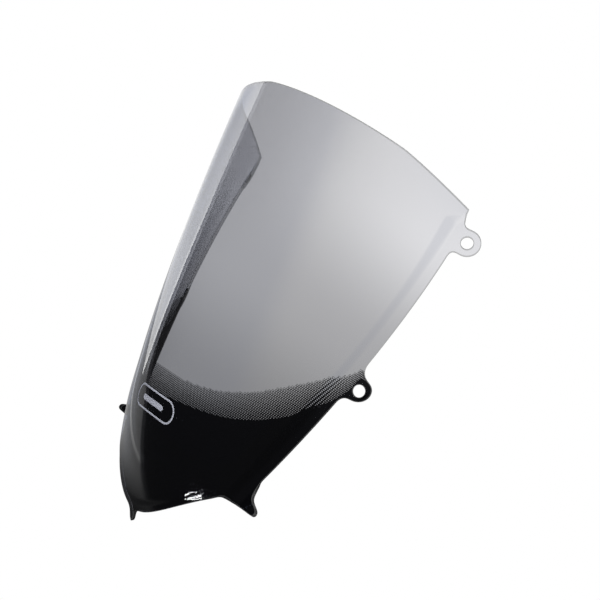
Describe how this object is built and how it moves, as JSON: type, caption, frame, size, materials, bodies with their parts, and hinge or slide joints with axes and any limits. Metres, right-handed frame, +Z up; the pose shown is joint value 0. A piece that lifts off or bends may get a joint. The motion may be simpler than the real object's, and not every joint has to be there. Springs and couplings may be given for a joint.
{
  "type": "motorcycle windshield screen",
  "caption": "Smoked acrylic bubble screen for a motorcycle fairing, black printed along its lower end with a perforated fade, with screw ears at the sides.",
  "frame": {"origin": "on the centre plane, under the middle of the screen's depth, at the height of the lowest point of the nose", "axes": "+X is to the right as seen from the front, +Y is rearwards towards the rider, +Z is up, with the screen leaned back as mounted"},
  "size_m": [0.3446, 0.24, 0.3678],
  "materials": {
    "smoked_acrylic": "clear polished smoke-tinted cast acrylic, see-through",
    "black_ink": "opaque black screen-printed ink behind the sheet",
    "perforated_ink": "black ink with fine clear round holes that shrink towards the bottom",
    "emblem_ink": "thin white printed line"
  },
  "bodies": {
    "root": {"screen_sheet": "smoked_acrylic", "black_mask": "black_ink", "fade_band": "perforated_ink", "emblem_ring": "emblem_ink", "emblem_bar": "emblem_ink"}
  },
  "joints": []
}
